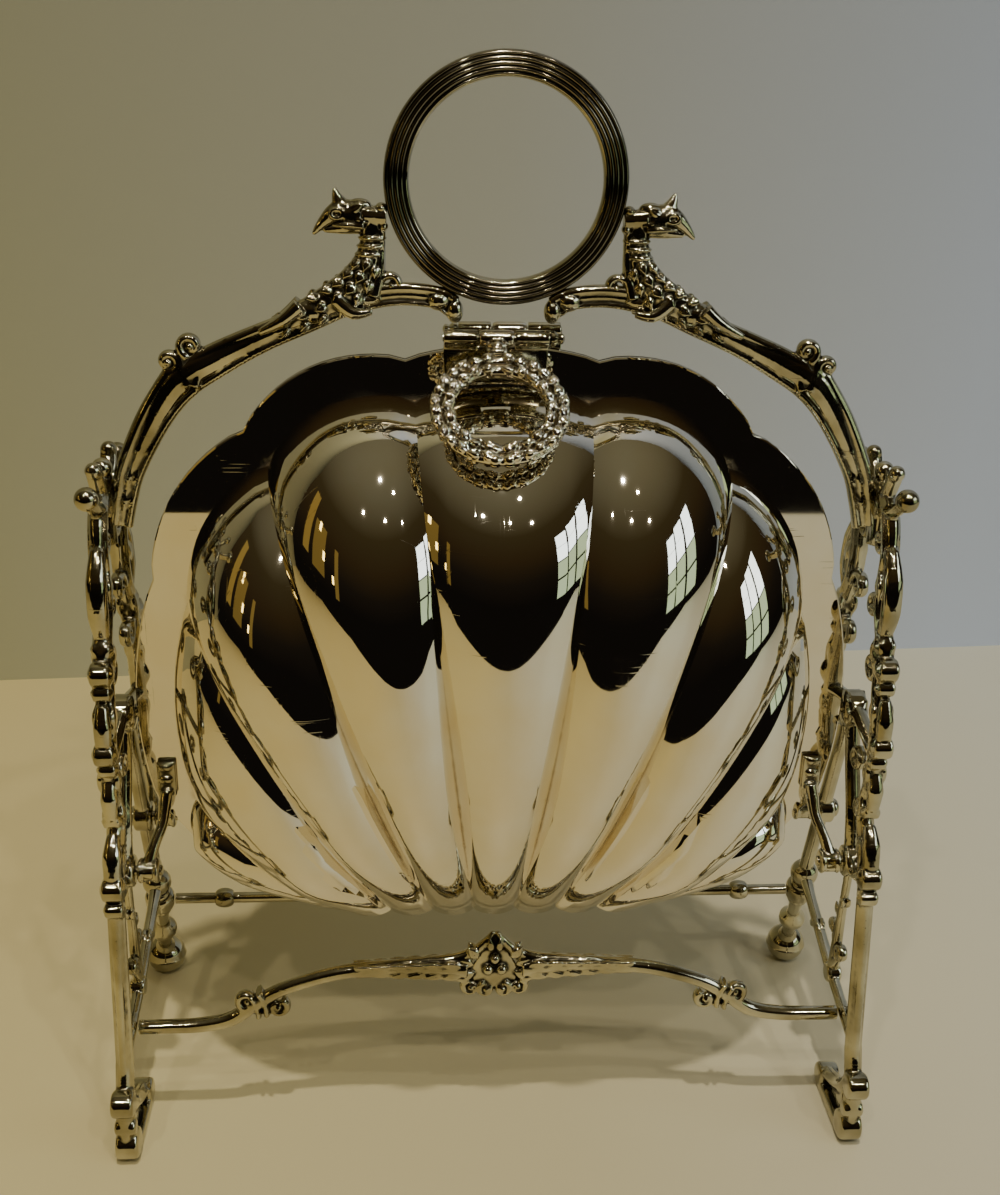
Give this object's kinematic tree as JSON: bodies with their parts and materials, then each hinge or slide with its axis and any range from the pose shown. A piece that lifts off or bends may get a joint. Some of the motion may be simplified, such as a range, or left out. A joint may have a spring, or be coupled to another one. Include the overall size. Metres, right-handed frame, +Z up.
{
  "type": "folding biscuit box",
  "caption": "Scalloped folding biscuit box: two shell bowls that open outwards between cast end frames, under a ring handle held by two beasts.",
  "frame": {"origin": "on the table, under the middle of the box", "axes": "+Z up, the front shell faces -Y, +X runs to the right along the pivots"},
  "size_m": [0.2294, 0.1034, 0.3],
  "materials": {
    "shell_plate": "mirror polished silver plate",
    "casting": "cast and burnished silver plate, darkened in the recesses",
    "ring_metal": "tarnished reeded silver plate",
    "grille_metal": "gilt, satin"
  },
  "bodies": {
    "frame": {"handle_ring": "ring_metal", "front_stretcher": "casting", "rear_stretcher": "casting", "handle_bow_left": "casting", "beast_left": "casting", "end_frame_left": "casting", "rear_leg_left": "casting", "rear_foot_left": "shell_plate", "side_brace_left": "casting", "front_pivot_pin_left": "casting", "rear_pivot_pin_left": "casting", "handle_bow_right": "casting", "beast_right": "casting", "end_frame_right": "casting", "rear_leg_right": "casting", "rear_foot_right": "shell_plate", "side_brace_right": "casting", "front_pivot_pin_right": "casting", "rear_pivot_pin_right": "casting"},
    "front_shell": {"front_shell": "shell_plate", "front_arm_left": "casting", "front_arm_right": "casting", "front_hinge_plate": "casting", "front_hinge_pin": "casting", "front_grille_lug_left": "casting", "front_grille_lug_right": "casting", "front_grille_pin": "casting"},
    "front_wreath": {"front_pull_strap": "casting", "front_wreath": "casting"},
    "front_grille": {"front_grille": "grille_metal", "front_grille_knob": "grille_metal"},
    "rear_shell": {"rear_shell": "shell_plate", "rear_arm_left": "casting", "rear_arm_right": "casting", "rear_hinge_plate": "casting", "rear_hinge_pin": "casting", "rear_grille_lug_left": "casting", "rear_grille_lug_right": "casting", "rear_grille_pin": "casting"},
    "rear_wreath": {"rear_pull_strap": "casting", "rear_wreath": "casting"},
    "rear_grille": {"rear_grille": "grille_metal", "rear_grille_knob": "grille_metal"}
  },
  "joints": [
    {"name": "front_shell_hinge", "type": "hinge", "parent": "frame", "child": "front_shell", "pos_m": [0, -0.015, 0.079], "axis": [1, 0, 0], "range_deg": [0, 60]},
    {"name": "front_wreath_hinge", "type": "hinge", "parent": "front_shell", "child": "front_wreath", "pos_m": [-0.002, -0.0054, 0.231], "axis": [1, 0, 0], "range_deg": [-110, 0]},
    {"name": "front_grille_hinge", "type": "hinge", "parent": "front_shell", "child": "front_grille", "pos_m": [0, -0.006, 0.076], "axis": [1, 0, 0], "range_deg": [-36, 0]},
    {"name": "rear_shell_hinge", "type": "hinge", "parent": "frame", "child": "rear_shell", "pos_m": [0, 0.015, 0.079], "axis": [-1, 0, 0], "range_deg": [0, 60]},
    {"name": "rear_wreath_hinge", "type": "hinge", "parent": "rear_shell", "child": "rear_wreath", "pos_m": [0.002, 0.0054, 0.231], "axis": [-1, 0, 0], "range_deg": [-110, 0]},
    {"name": "rear_grille_hinge", "type": "hinge", "parent": "rear_shell", "child": "rear_grille", "pos_m": [0, 0.006, 0.076], "axis": [-1, 0, 0], "range_deg": [-36, 0]}
  ],
  "couplings": [
    {"joint": "front_grille_hinge", "follows": "front_shell_hinge", "ratio": -0.6},
    {"joint": "rear_grille_hinge", "follows": "rear_shell_hinge", "ratio": -0.6}
  ]
}
